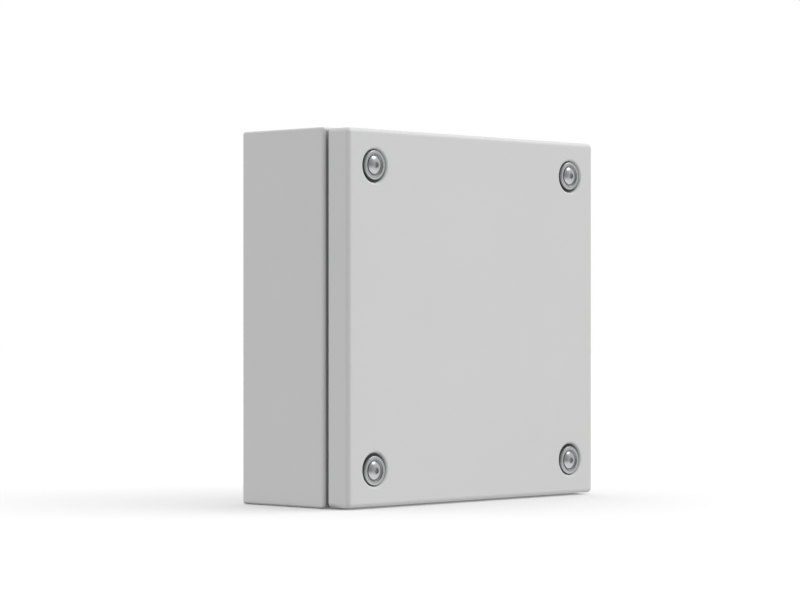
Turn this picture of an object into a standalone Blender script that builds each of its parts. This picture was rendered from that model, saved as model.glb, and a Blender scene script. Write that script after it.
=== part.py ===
"""Wall-mounting terminal box: folded steel case, pressed lid, four captive cover screws.

Frame: X across the front, Z up, the lid faces -Y. The origin is the middle of the bounding box's
underside. Lengths are metres.

The pieces hang on an empty in the middle of the lid's front face. Under it a place is
(x, depth, z): x and z from the middle of the box, depth from the lid's front face to the wall.
"""
import math

import bmesh
import bpy
from mathutils import Matrix, Vector

# Case and lid
box_width = 0.200
box_height = 0.200
box_depth = 0.080            # lid front face to rear face of the case
sheet = 0.0015               # thickness of case and lid
fold_radius = 0.0025         # outside radius of the folds
rim_fold = 0.0020            # outside radius of the fold at the case's front edge
case_corner = 0.0012         # outside radius of the case's four welded corners
seam_radius = 0.0004         # least rounding left where folded edges are welded
lid_setback = 0.0008         # lid edge inside the case's outline, all round
lid_flange = 0.0149          # depth of the lid's folded edge
lid_gap = 0.0024             # lid's folded edge to the case's front rim
rim_width = 0.0060           # case outline to the sealing lip
touch_gap = 0.0003           # clearance between pieces that touch

# Foamed seal between the lid and the case's lip
seal_width = 0.0044
seal_height = 0.0042

# Cover screws
head_radius = 0.0048
head_dome = 0.0014           # height of the domed face
head_rim = 0.0003            # height of the straight edge under the dome
head_socket = 0.0030         # across flats
socket_depth = 0.0010
socket_land = 0.0002         # flat around the socket's corners
shank_radius = 0.0025
shank_play = 0.0005          # lid hole to the shank where they lie nearest
screw_tip = 0.0010           # chamfer at the screw's end

# Washers on each screw, widths outwards from the head or the shank
cup_step = 0.0012            # slope from the head up to the flat ring
cup_ring = 0.0012            # flat ring
cup_edge = 0.0006            # bevel of the cup's outer edge
cup_proud = 0.0001           # flat ring in front of the lid's face
cup_floor = 0.0006
washer_height = 0.0010       # sealing washer, which lies in the middle of the well
clip_width = 0.0017
clip_height = 0.0008

# Pressed wells in the lid, which set the screws' places
well_side = 0.0017           # seal to the outside of a well at the lid's sides
well_end = 0.0011            # the same at its top and bottom
cup_play = 0.00045           # cup to the well's wall where they lie nearest
washer_play = 0.00035        # sealing washer to the well's wall
well_shift = 0.0005          # wells lie this much nearer to mid-height than the screws
well_depth = 0.0032
well_mouth = 0.0013          # rounding of the well's edge
well_corner = 0.0005         # rounding at the well's bottom

# Brackets and threaded bushes in the case's front corners
bush_wall = 0.0014
bush_shoulder = 0.0023       # flange outside the bush
bush_flange = 0.0015
bush_play = 0.0012           # clip washer to bush
bracket_margin = 0.0010      # bush flange to the gusset's long side
bracket_sheet = 0.0020
bracket_tab = 0.0120         # tab welded to the wall, length along the depth
bracket_tab_width = 0.0160
bracket_nose = 0.0040        # width of the blunt ends of the gusset
bracket_relief = 0.0005      # gusset's cut edges inside the tabs' outer faces

# Rear panel
wall_hole_edge = 0.0300      # wall-fixing hole axis to the case's outline
wall_hole_radius = 0.00425
plug_shoulder = 0.00225      # flange outside the hole
plug_flange = 0.0014
plug_wall = 0.0010
stud_edge_x = 0.0300         # mounting stud axis to the case's side outline
stud_edge_z = 0.0550         # mounting stud axis to the case's top or bottom outline
stud_radius = 0.0025
stud_length = 0.0120
stud_shoulder = 0.0009       # foot outside the shank
stud_foot = 0.0009

# Earth connections
earth_edge_z = 0.0230        # earth studs to the case's bottom outline
earth_stud_radius = 0.0030
earth_stud_length = 0.0140
earth_washer_width = 0.0027
earth_washer = 0.0012
earth_nut = 0.0050
earth_nut_wall = 0.0017      # bore to flat

# Fineness of curves
fold_steps = 4
press_steps = 2
dome_steps = 4
turn_steps = 28
small_turn_steps = 20

# Sizes that follow from those above
inner_fold = fold_radius - sheet
rim_front = lid_flange + lid_gap
lip_front = sheet + seal_height + 2 * touch_gap
shank_bore = shank_radius + touch_gap
cup_land = head_radius + cup_step
cup_radius = cup_land + cup_ring + cup_edge
well_radius = cup_radius + cup_play + well_shift
washer_radius = well_radius - washer_play
washer_bore = shank_radius + well_shift + touch_gap
lid_hole = shank_radius + well_shift + shank_play
bush_radius = shank_bore + bush_wall
bush_flange_radius = bush_radius + bush_shoulder
earth_bore = earth_stud_radius + touch_gap
seal_middle = rim_width + sheet / 2 - lid_setback
well_reach = lid_setback + seal_middle + seal_width / 2 + sheet + well_radius
screw_edge_x = well_reach + well_side
screw_edge_z = well_reach + well_end - well_shift
panel_front = box_depth - sheet
washer_front = well_depth - touch_gap - washer_height
head_seat = washer_front - touch_gap - cup_floor
head_front = head_seat - touch_gap - head_rim - head_dome
clip_front = well_depth + sheet + touch_gap
bush_front = clip_front + clip_height + bush_play
bracket_front = rim_front + sheet + touch_gap
bracket_back = bracket_front + bracket_sheet
screw_end = bracket_back + bush_flange + 2 * touch_gap
screw_x = box_width / 2 - screw_edge_x
screw_z = box_height / 2 - screw_edge_z
well_z = screw_z - well_shift
hole_x = box_width / 2 - wall_hole_edge
hole_z = box_height / 2 - wall_hole_edge
tab_x = box_width / 2 - sheet - touch_gap
tab_z = box_height / 2 - sheet - touch_gap
bracket_corner = sheet + touch_gap + bracket_relief
bracket_leg = (screw_edge_x + screw_edge_z - 2 * bracket_corner - bracket_nose
               + math.sqrt(2) * (bush_flange_radius + bracket_margin))
corners = ((-1, 1), (1, 1), (-1, -1), (1, -1))


def clear_scene():
    for item in list(bpy.data.objects):
        bpy.data.objects.remove(item)


def make_material(name, colour, metallic, roughness):
    material = bpy.data.materials.new(name)
    material.use_nodes = True
    shader = material.node_tree.nodes["Principled BSDF"]
    shader.inputs["Base Color"].default_value = (*colour, 1.0)
    shader.inputs["Metallic"].default_value = metallic
    shader.inputs["Roughness"].default_value = roughness
    return material


def arc(centre, radius, start, end, steps=fold_steps):
    """Points on an arc in a section or profile plane, angles in degrees."""
    angles = [math.radians(start + (end - start) * i / steps) for i in range(steps + 1)]
    return [(centre[0] + radius * math.cos(a), centre[1] + radius * math.sin(a)) for a in angles]


def circle(radius, steps, x=0.0, z=0.0):
    angles = [2 * math.pi * i / steps for i in range(steps)]
    return [(x + radius * math.cos(a), z + radius * math.sin(a)) for a in angles]


def hexagon(flats):
    return circle(flats / math.sqrt(3), 6)


def rounded_rectangle(width, height, radius):
    points = []
    for quarter, (side, up) in enumerate(((1, 1), (-1, 1), (-1, -1), (1, -1))):
        centre = (side * (width / 2 - radius), up * (height / 2 - radius))
        points += arc(centre, radius, 90 * quarter, 90 * quarter + 90)
    return points


def add_ring(shape, outline, depth):
    return [shape.verts.new((x, depth, z)) for x, z in outline]


def bridge(shape, rings, closed=False):
    """Join rings of vertices, one after another, with bands of faces."""
    pairs = list(zip(rings, rings[1:]))
    if closed:
        pairs.append((rings[-1], rings[0]))
    for first, second in pairs:
        for i in range(len(first)):
            j = (i + 1) % len(first)
            shape.faces.new((first[i], first[j], second[j], second[i]))


def fill(shape, outline, holes=()):
    """Fill a flat face inside a ring, leaving the rings in holes open."""
    edges = []
    for ring in (outline, *holes):
        edges += [shape.edges.get((ring[i - 1], ring[i])) for i in range(len(ring))]
    bmesh.ops.triangle_fill(shape, use_beauty=True, edges=edges)


def finish(name, shape, material, parent, place=(0, 0, 0)):
    """Make an object from a bmesh, its faces turned outwards and its round faces smooth."""
    bmesh.ops.recalc_face_normals(shape, faces=shape.faces)
    mesh = bpy.data.meshes.new(name)
    shape.to_mesh(mesh)
    shape.free()
    mesh.shade_smooth()
    mesh.set_sharp_from_angle(angle=math.radians(30))
    if material:
        mesh.materials.append(material)
    return add_object(name, mesh, parent, place)


def add_object(name, mesh, parent, place):
    item = bpy.data.objects.new(name, mesh)
    bpy.context.collection.objects.link(item)
    item.parent = parent
    item.location = place
    return item


def section_rings(shape, section, width, height, corner=fold_radius):
    """Carry a section, points (inset, depth), round a rectangle with rounded corners."""
    rings = []
    for inset, depth in section:
        radius = max(corner - inset, seam_radius)
        outline = rounded_rectangle(width - 2 * inset, height - 2 * inset, radius)
        rings.append(add_ring(shape, outline, depth))
    return rings


def turned_rings(shape, profile, steps, x=0.0, z=0.0):
    """Turn a profile, points (radius, depth), about an axis along Y."""
    return [add_ring(shape, circle(radius, steps, x, z), depth) for radius, depth in profile]


def turned(name, profile, steps, material, parent, place, ring=False):
    """A turned piece: a ring from a closed profile, else a solid with a flat or pointed end."""
    shape = bmesh.new()
    rings = turned_rings(shape, profile, steps)
    bridge(shape, rings, closed=ring)
    if not ring:
        fill(shape, rings[0])
        fill(shape, rings[-1])
    return finish(name, shape, material, parent, place)


def flat_washer(name, radius, height, material, parent, place, bore=shank_bore):
    """A washer whose bevelled face is at its place and whose back is at height, along either way."""
    profile = [(bore, 0), (radius - abs(height) / 4, 0), (radius, height / 4), (radius, height),
               (bore, height)]
    turned(name, profile, small_turn_steps, material, parent, place, ring=True)


def plate(name, outline, holes, front, back, material, parent, place=(0, 0, 0)):
    """An outline with holes, drawn out along the depth."""
    shape = bmesh.new()
    walls = [[add_ring(shape, edge, depth) for depth in (front, back)] for edge in (outline, *holes)]
    for wall in walls:
        bridge(shape, wall)
    for outside, *inside in zip(*walls):
        fill(shape, outside, inside)
    return finish(name, shape, material, parent, place)


def block(name, low, high, parent):
    shape = bmesh.new()
    size = Vector(high) - Vector(low)
    middle = (Vector(high) + Vector(low)) / 2
    bmesh.ops.create_cube(shape, size=1, matrix=Matrix.Translation(middle) @ Matrix.Diagonal((*size, 1)))
    return finish(name, shape, None, parent)


def combine(item, tool, operation):
    """Add or cut a tool object, which stays in the file as a wire guide."""
    tool.hide_render = True
    tool.display_type = "WIRE"
    modifier = item.modifiers.new(tool.name, "BOOLEAN")
    modifier.operation = operation
    modifier.solver = "EXACT"
    modifier.object = tool


def build_case(paint, parent):
    """Rear panel, four walls, inward rim and forward lip as one welded sheet."""
    back_fold = (fold_radius, box_depth - fold_radius)
    front_fold = (rim_fold, rim_front + rim_fold)
    lip_fold = (rim_width - inner_fold, rim_front - inner_fold)
    section = arc(back_fold, fold_radius, 90, 180)
    section += arc(front_fold, rim_fold, 180, 270)
    section += arc(lip_fold, inner_fold, 90, 0)
    section += [(rim_width, lip_front), (rim_width + sheet, lip_front)]
    section += arc(lip_fold, fold_radius, 0, 90)
    section += arc(front_fold, rim_fold - sheet, 270, 180)
    section += arc(back_fold, inner_fold, 180, 90)
    shape = bmesh.new()
    rings = section_rings(shape, section, box_width, box_height, case_corner)
    bridge(shape, rings)
    holes = []
    for side, up in corners:
        wall = [(wall_hole_radius, box_depth), (wall_hole_radius, panel_front)]
        holes.append(turned_rings(shape, wall, small_turn_steps, side * hole_x, up * hole_z))
        bridge(shape, holes[-1])
    fill(shape, rings[0], [hole[0] for hole in holes])
    fill(shape, rings[-1], [hole[1] for hole in holes])
    return finish("enclosure_body", shape, paint, parent)


def build_lid(paint, parent):
    """Folded tray with four pressed wells, each pierced for its screw."""
    fold = (fold_radius, fold_radius)
    section = arc(fold, fold_radius, 270, 180)
    section += [(0, lid_flange), (sheet, lid_flange)]
    section += arc(fold, inner_fold, 180, 270)
    outer_corner = well_corner + sheet
    corner = (well_radius - well_corner, well_depth - well_corner)
    well = arc((well_radius + well_mouth, well_mouth), well_mouth, 270, 180, press_steps)
    well += arc(corner, well_corner, 0, 90, press_steps)
    well += [(lid_hole, well_depth), (lid_hole, well_depth + sheet)]
    well += arc(corner, outer_corner, 90, 0, press_steps)
    well += [(well_radius + sheet, sheet)]
    shape = bmesh.new()
    rings = section_rings(shape, section, box_width - 2 * lid_setback, box_height - 2 * lid_setback)
    bridge(shape, rings)
    wells = []
    for side, up in corners:
        wells.append(turned_rings(shape, well, turn_steps, side * screw_x, up * well_z))
        bridge(shape, wells[-1])
    fill(shape, rings[0], [rings_of_well[0] for rings_of_well in wells])
    fill(shape, rings[-1], [rings_of_well[-1] for rings_of_well in wells])
    return finish("lid", shape, paint, parent)


def build_seal(foam, parent):
    """Foamed bead inside the lid, flat on the lid and crowned towards the case's lip."""
    front = sheet + touch_gap
    back = front + seal_height
    crown = seal_height / 3
    outer = seal_middle - seal_width / 2
    inner = seal_middle + seal_width / 2
    section = [(outer, front), (outer, back - crown), (outer + seal_width / 6, back),
               (inner - seal_width / 6, back), (inner, back - crown), (inner, front)]
    shape = bmesh.new()
    rings = section_rings(shape, section, box_width - 2 * lid_setback, box_height - 2 * lid_setback)
    bridge(shape, rings, closed=True)
    finish("lid_seal", shape, foam, parent)


def screw_profile():
    """Domed head, straight shank and chamfered tip, depths from the flat around the socket."""
    land = head_socket / math.sqrt(3) + socket_land
    centre = (head_radius ** 2 + head_dome ** 2 - land ** 2) / (2 * head_dome)
    sphere = math.hypot(land, centre)
    inner = math.degrees(math.asin(land / sphere))
    outer = math.degrees(math.asin(head_radius / sphere))
    dome = arc((0, centre), sphere, inner - 90, outer - 90, dome_steps)
    seat = head_dome + head_rim
    end = screw_end - head_front
    return dome + [(head_radius, seat), (shank_radius, seat), (shank_radius, end - screw_tip),
                   (shank_radius - screw_tip, end)]


def build_screws(steel, zinc, parent):
    """Four screws with their clip washers, each screw's origin on its turning axis."""
    for number, (side, up) in enumerate(corners, 1):
        place = (side * screw_x, head_front, up * screw_z)
        screw = turned(f"lid_screw_{number}", screw_profile(), turn_steps, steel, parent, place)
        socket = plate(f"screw_socket_{number}", hexagon(head_socket), [], -head_dome, socket_depth,
                       None, screw)
        combine(screw, socket, "DIFFERENCE")
        flat_washer(f"retaining_washer_{number}", shank_bore + clip_width, clip_height, zinc, screw,
                    (0, clip_front - head_front, 0))


def cup_profile():
    """Bevelled outer edge, flat ring, step down to the head's seat, floor."""
    seat_radius = head_radius + touch_gap
    front = -cup_proud
    back = head_seat + cup_floor
    return [(cup_radius - cup_edge, front), (cup_radius, front + cup_edge), (cup_radius, back),
            (shank_bore, back), (shank_bore, head_seat), (seat_radius, head_seat),
            (seat_radius, head_seat - head_rim), (cup_land, front)]


def build_washers(steel, rubber, parent):
    """Cup washer under each screw's head, on a sealing washer that lies in the well."""
    for number, (side, up) in enumerate(corners, 1):
        turned(f"cup_washer_{number}", cup_profile(), turn_steps, steel, parent,
               (side * screw_x, 0, up * screw_z), ring=True)
        flat_washer(f"sealing_washer_{number}", washer_radius, washer_height, rubber, parent,
                    (side * screw_x, washer_front, up * well_z), washer_bore)


def bracket_outline():
    """Gusset that fills the upper right corner of the case, its long side cut off."""
    reach_x = tab_x - bracket_relief
    reach_z = tab_z - bracket_relief
    return [(reach_x - inner_fold, reach_z), (reach_x - bracket_leg, reach_z),
            (reach_x - bracket_leg, reach_z - bracket_nose), (reach_x - bracket_nose, reach_z - bracket_leg),
            (reach_x, reach_z - bracket_leg), (reach_x, reach_z - inner_fold)]


def build_brackets(zinc, parent):
    """Folded brackets in the front corners, each with two tabs and a threaded bush."""
    tab_near = bracket_leg - bracket_tab_width
    side_tab = ((tab_x - bracket_sheet, tab_x), (tab_z - bracket_leg, tab_z - tab_near))
    end_tab = ((tab_x - bracket_leg, tab_x - tab_near), (tab_z - bracket_sheet, tab_z))
    flange = bracket_back + touch_gap
    bush = [(shank_bore, bush_front), (bush_radius, bush_front), (bush_radius, flange),
            (bush_flange_radius, flange), (bush_flange_radius, flange + bush_flange),
            (shank_bore, flange + bush_flange)]
    for number, (side, up) in enumerate(corners, 1):
        outline = [(side * x, up * z) for x, z in bracket_outline()]
        hole = circle(bush_radius + touch_gap, small_turn_steps, side * screw_x, up * screw_z)
        bracket = plate(f"corner_bracket_{number}", outline, [hole], bracket_front, bracket_back, zinc,
                        parent)
        for word, (span_x, span_z) in (("side", side_tab), ("end", end_tab)):
            xs = sorted(side * x for x in span_x)
            zs = sorted(up * z for z in span_z)
            tab = block(f"tab_{word}_{number}", (xs[0], bracket_back - bracket_sheet / 2, zs[0]),
                        (xs[1], bracket_back + bracket_tab, zs[1]), parent)
            combine(bracket, tab, "UNION")
        turned(f"nut_bush_{number}", bush, small_turn_steps, zinc, parent,
               (side * screw_x, 0, up * screw_z), ring=True)


def build_plugs(plastic, parent):
    """Cup-shaped plugs that close the wall-fixing holes from inside."""
    stem = wall_hole_radius - touch_gap
    hollow = stem - plug_wall
    brim = wall_hole_radius + plug_shoulder
    end = box_depth - touch_gap
    front = panel_front - touch_gap - plug_flange
    profile = [(hollow, end - plug_wall), (hollow, front), (brim - plug_wall / 2, front),
               (brim, front + plug_wall / 2), (brim, front + plug_flange), (stem, front + plug_flange),
               (stem, end)]
    for number, (side, up) in enumerate(corners, 1):
        turned(f"wall_plug_{number}", profile, small_turn_steps, plastic, parent,
               (side * hole_x, 0, up * hole_z))


def weld_stud(name, radius, length, facing, material, parent, place):
    """Stud on its foot. facing is 1 where it points to the wall, -1 where it points to the lid."""
    foot = radius + stud_shoulder
    chamfer = radius / 4
    profile = [(foot, 0), (foot, stud_foot), (radius, stud_foot), (radius, length - chamfer),
               (radius - chamfer, length)]
    turned(name, [(reach, facing * depth) for reach, depth in profile], small_turn_steps, material,
           parent, place)


def build_studs(zinc, parent):
    """Four studs on the rear panel, for a rail or a mounting plate."""
    stud_x = box_width / 2 - stud_edge_x
    stud_z = box_height / 2 - stud_edge_z
    for number, (side, up) in enumerate(corners, 1):
        weld_stud(f"mounting_stud_{number}", stud_radius, stud_length, -1, zinc, parent,
                  (side * stud_x, panel_front - touch_gap, up * stud_z))


def build_earth(name, depth, facing, brass, zinc, parent):
    """Earth stud with washer and nut, facing as for the stud."""
    z = earth_edge_z - box_height / 2
    weld_stud(f"{name}_earth_stud", earth_stud_radius, earth_stud_length, facing, brass, parent,
              (0, depth, z))
    washer = stud_foot + touch_gap
    nut = washer + earth_washer + touch_gap
    flat_washer(f"{name}_earth_washer", earth_bore + earth_washer_width, -facing * earth_washer, zinc,
                parent, (0, depth + facing * (washer + earth_washer), z), earth_bore)
    plate(f"{name}_earth_nut", hexagon(2 * (earth_bore + earth_nut_wall)),
          [circle(earth_bore, small_turn_steps)], facing * nut, facing * (nut + earth_nut), zinc, parent,
          (0, depth, z))


def build():
    clear_scene()
    paint = make_material("powder_coated_steel", (0.59, 0.59, 0.58), 0.0, 0.45)
    bright = make_material("polished_steel", (0.62, 0.62, 0.63), 1.0, 0.18)
    zinc = make_material("zinc_plated_steel", (0.55, 0.56, 0.58), 1.0, 0.35)
    brass = make_material("brass", (0.72, 0.55, 0.25), 1.0, 0.30)
    rubber = make_material("black_rubber", (0.02, 0.02, 0.02), 0.0, 0.70)
    foam = make_material("foamed_seal", (0.06, 0.06, 0.065), 0.0, 0.85)
    plastic = make_material("grey_plastic", (0.32, 0.32, 0.32), 0.0, 0.50)
    frame = add_object("box_frame", None, None, (0, -(head_front + box_depth) / 2, box_height / 2))
    case = build_case(paint, frame)
    lid = build_lid(paint, frame)
    build_seal(foam, lid)
    build_screws(bright, zinc, lid)
    build_washers(bright, rubber, lid)
    build_brackets(zinc, case)
    build_plugs(plastic, case)
    build_studs(zinc, case)
    build_earth("case", panel_front - touch_gap, -1, brass, zinc, case)
    build_earth("lid", sheet + touch_gap, 1, brass, zinc, lid)


build()
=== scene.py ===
import math

import bmesh
import bpy
from mathutils import Matrix, Vector


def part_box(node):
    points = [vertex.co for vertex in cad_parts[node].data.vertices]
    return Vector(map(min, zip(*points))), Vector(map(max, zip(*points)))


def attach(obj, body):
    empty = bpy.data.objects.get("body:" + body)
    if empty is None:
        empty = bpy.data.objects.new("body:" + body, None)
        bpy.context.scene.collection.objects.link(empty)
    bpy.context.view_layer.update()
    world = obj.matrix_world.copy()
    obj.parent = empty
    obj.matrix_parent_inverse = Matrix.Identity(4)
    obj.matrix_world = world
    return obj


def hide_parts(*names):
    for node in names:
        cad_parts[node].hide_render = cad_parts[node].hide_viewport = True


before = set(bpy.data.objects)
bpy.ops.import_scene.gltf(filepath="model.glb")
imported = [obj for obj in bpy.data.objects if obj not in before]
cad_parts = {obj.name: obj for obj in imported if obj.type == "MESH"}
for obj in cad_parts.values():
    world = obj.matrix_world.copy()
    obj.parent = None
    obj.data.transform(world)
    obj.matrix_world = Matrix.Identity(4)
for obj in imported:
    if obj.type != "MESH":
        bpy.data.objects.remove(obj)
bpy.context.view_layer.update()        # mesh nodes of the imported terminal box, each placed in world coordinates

# Everything is in metres, in the frame of the imported box: X along the lid, Z up, the lid faces -Y.
# Sizes in the dictionaries below are millimetres, angles are degrees, shares and light levels have no unit.
mm = 0.001
corners = (1, 2, 3, 4)                    # upper left, upper right, lower left, lower right
caseLow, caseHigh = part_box("enclosure_body")
lidLow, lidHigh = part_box("lid")
lidFace = lidLow.y
print("frame loaded:", len(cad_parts), "nodes")


# Materials

def linear(hexColour):
    # sRGB hex to the linear RGBA that shaders take
    parts = [int(hexColour[i:i + 2], 16) / 255 for i in (1, 3, 5)]
    return tuple(p / 12.92 if p <= 0.04045 else ((p + 0.055) / 1.055) ** 2.4 for p in parts) + (1.0,)


def perMetre(millimetres):
    # texture scale for a pattern that repeats about every so many millimetres
    return 1000 / millimetres


def addNode(tree, kind, inputs=None, **settings):
    # one node with its settings; an input is a number, a colour or the socket that feeds it
    node = tree.nodes.new(kind)
    for key, value in settings.items():
        setattr(node, key, value)
    for key, value in (inputs or {}).items():
        if isinstance(value, bpy.types.NodeSocket):
            tree.links.new(value, node.inputs[key])
        else:
            node.inputs[key].default_value = value
    return node


def startMaterial(name, **shaderInputs):
    # a new material with its shader, and the object's own coordinates for patterns
    material = bpy.data.materials.new(name)
    material.use_nodes = True
    tree = material.node_tree
    shader = tree.nodes["Principled BSDF"]
    for key, value in shaderInputs.items():
        shader.inputs[key.replace("_", " ")].default_value = value
    place = addNode(tree, "ShaderNodeTexCoord").outputs["Object"]
    return material, tree, shader, place


def feed(tree, shader, **sockets):
    for key, socket in sockets.items():
        tree.links.new(socket, shader.inputs[key.replace("_", " ")])


noiseLow, noiseHigh = 0.3, 0.7          # nearly all values of a noise texture lie between these
ringsPerUnit = 20 / (2 * math.pi)       # what a wave texture draws at a scale of one


def roughnessRange(noise, look):
    # Map Range settings that let the roughness drift up and down with a noise
    return {"Value": noise.outputs[0], "From Min": noiseLow, "From Max": noiseHigh,
            "To Min": look["roughness"] - look["roughnessSpread"],
            "To Max": look["roughness"] + look["roughnessSpread"]}


paint = {
    "colour": "#C9CAC9", "colourThin": "#C5C6C5",    # where the coat is thinner it is a little darker
    "roughness": 0.46, "roughnessSpread": 0.05,
    "peel": 2.2, "peelHeight": 0.010,                # orange peel: ripple length and height
    "grain": 0.5, "grainHeight": 0.0022,             # powder grain, 0.1 mm in truth, drawn coarser to show
    "cloud": 55.0,                                   # slow change of film thickness across a panel
}
# painted shade: paint inside the narrow gap between lid and case is a darker grey, standing for the shade
# there
gapShadePaint = dict(paint, colour="#AEAFAE", colourThin="#A9AAA9")


def powderCoatedSteel(name, look):
    # Polyester powder, sprayed and baked on steel: even pale grey, soft gloss, faint orange peel.
    material, tree, shader, place = startMaterial(name, IOR=1.5)
    cloud = addNode(tree, "ShaderNodeTexNoise",
                    {"Vector": place, "Scale": perMetre(look["cloud"]), "Detail": 3.0})
    peel = addNode(tree, "ShaderNodeTexNoise",
                   {"Vector": place, "Scale": perMetre(look["peel"]), "Detail": 2.0})
    grain = addNode(tree, "ShaderNodeTexNoise",
                    {"Vector": place, "Scale": perMetre(look["grain"]), "Detail": 2.0})
    colour = addNode(tree, "ShaderNodeMix", {0: cloud.outputs[0], 6: linear(look["colour"]),
                                             7: linear(look["colourThin"])}, data_type="RGBA")
    rough = addNode(tree, "ShaderNodeMapRange", roughnessRange(grain, look))
    peelBump = addNode(tree, "ShaderNodeBump", {"Height": peel.outputs[0],
                       "Distance": look["peelHeight"] * mm})
    grainBump = addNode(tree, "ShaderNodeBump", {"Height": grain.outputs[0],
                        "Distance": look["grainHeight"] * mm, "Normal": peelBump.outputs[0]})
    feed(tree, shader, Base_Color=colour.outputs[2], Roughness=rough.outputs[0],
         Normal=grainBump.outputs[0])
    return material


nickel = {
    "colour": "#C9CACB", "colourDeep": "#BDBEC0",
    "roughness": 0.27, "roughnessSpread": 0.04,
    "ripple": 2.83, "rippleHeight": 0.0016,          # turning marks, finer in truth, drawn coarse and faint
    "haze": 3.0,                                     # patches a little duller than the rest
}


def nickelPlatedTurnedSteel():
    # Turned on a lathe, polished and bright nickel plated: a soft mirror with a faint haze.
    material, tree, shader, place = startMaterial("nickelPlatedTurnedSteel", Metallic=1.0)
    rings = addNode(tree, "ShaderNodeTexWave",
                    {"Vector": place, "Scale": perMetre(nickel["ripple"]) / ringsPerUnit,
                     "Distortion": 0.6, "Detail": 2.0, "Detail Scale": 3.0},
                    wave_type="RINGS", rings_direction="Y")
    haze = addNode(tree, "ShaderNodeTexNoise",
                   {"Vector": place, "Scale": perMetre(nickel["haze"]), "Detail": 4.0})
    colour = addNode(tree, "ShaderNodeMix", {0: haze.outputs[0], 6: linear(nickel["colour"]),
                                             7: linear(nickel["colourDeep"])}, data_type="RGBA")
    rough = addNode(tree, "ShaderNodeMapRange", roughnessRange(haze, nickel))
    bump = addNode(tree, "ShaderNodeBump", {"Height": rings.outputs[1],
                   "Distance": nickel["rippleHeight"] * mm})
    feed(tree, shader, Base_Color=colour.outputs[2], Roughness=rough.outputs[0], Normal=bump.outputs[0])
    return material


broached = {"colour": "#C6C6C8", "colourOil": "#B4B3B1", "roughness": 0.62, "oil": 1.2,
            "tear": 0.30, "tearHeight": 0.004}           # in the heads' sockets
seat = {"colour": "#A6A6A8", "colourOil": "#949391", "roughness": 0.50, "oil": 2.0,
        "tear": 0.25, "tearHeight": 0.002}               # on the cups' seats and sides; its darker grey is painted shade of the groove and of the gap round the cup


def thinlyPlatedSteel(name, look):
    # Steel where the plating stays thin and unpolished: dull, darker grey, a little oily, with tool marks.
    # On the cups' groove and sides its darker grey also paints the shade there.
    material, tree, shader, place = startMaterial(name, Metallic=1.0, Roughness=look["roughness"])
    oil = addNode(tree, "ShaderNodeTexNoise",
                  {"Vector": place, "Scale": perMetre(look["oil"]), "Detail": 3.0})
    tear = addNode(tree, "ShaderNodeTexNoise",
                   {"Vector": place, "Scale": perMetre(look["tear"]), "Detail": 2.0})
    colour = addNode(tree, "ShaderNodeMix", {0: oil.outputs[0], 6: linear(look["colour"]),
                                             7: linear(look["colourOil"])}, data_type="RGBA")
    bump = addNode(tree, "ShaderNodeBump", {"Height": tear.outputs[0], "Distance": look["tearHeight"] * mm})
    feed(tree, shader, Base_Color=colour.outputs[2], Normal=bump.outputs[0])
    return material


zinc = {
    "colour": "#C3C6CB", "colourBlue": "#B5BCC5", "colourYellow": "#C6C2AE",   # passivation tints
    "roughness": 0.34, "roughnessSpread": 0.10,
    "tint": 14.0, "blueFrom": 0.42, "blueTo": 0.62,
    "spangle": 6.0, "strawFrom": 0.55, "strawTo": 0.75, "straw": 0.6,
    "grain": 0.35, "grainHeight": 0.003,
}


def zincPlatedSteel():
    # Zinc plated and passivated: satin grey, with a faint blue and straw bloom and a fine grain.
    material, tree, shader, place = startMaterial("zincPlatedSteel", Metallic=1.0)
    tint = addNode(tree, "ShaderNodeTexNoise",
                   {"Vector": place, "Scale": perMetre(zinc["tint"]), "Detail": 3.0})
    spangle = addNode(tree, "ShaderNodeTexNoise",
                      {"Vector": place, "Scale": perMetre(zinc["spangle"]), "Detail": 5.0})
    grain = addNode(tree, "ShaderNodeTexNoise",
                    {"Vector": place, "Scale": perMetre(zinc["grain"]), "Detail": 3.0})
    bloom = addNode(tree, "ShaderNodeMapRange",
                    {"Value": tint.outputs[0], "From Min": zinc["blueFrom"], "From Max": zinc["blueTo"]})
    blue = addNode(tree, "ShaderNodeMix", {0: bloom.outputs[0], 6: linear(zinc["colour"]),
                                           7: linear(zinc["colourBlue"])}, data_type="RGBA")
    straw = addNode(tree, "ShaderNodeMapRange",
                    {"Value": spangle.outputs[0], "From Min": zinc["strawFrom"],
                     "From Max": zinc["strawTo"], "To Max": zinc["straw"]})
    colour = addNode(tree, "ShaderNodeMix", {0: straw.outputs[0], 6: blue.outputs[2],
                                             7: linear(zinc["colourYellow"])}, data_type="RGBA")
    rough = addNode(tree, "ShaderNodeMapRange", roughnessRange(spangle, zinc))
    bump = addNode(tree, "ShaderNodeBump", {"Height": grain.outputs[0],
                   "Distance": zinc["grainHeight"] * mm})
    feed(tree, shader, Base_Color=colour.outputs[2], Roughness=rough.outputs[0], Normal=bump.outputs[0])
    return material


brass = {
    "colour": "#D9BE7C", "colourDull": "#B2935A",
    "roughness": 0.26, "roughnessSpread": 0.08,
    "stain": 5.0, "dullFrom": 0.4, "dullTo": 0.7,
    "ripple": 2.51, "rippleHeight": 0.002,           # turning marks, drawn coarse and faint too
}


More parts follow.
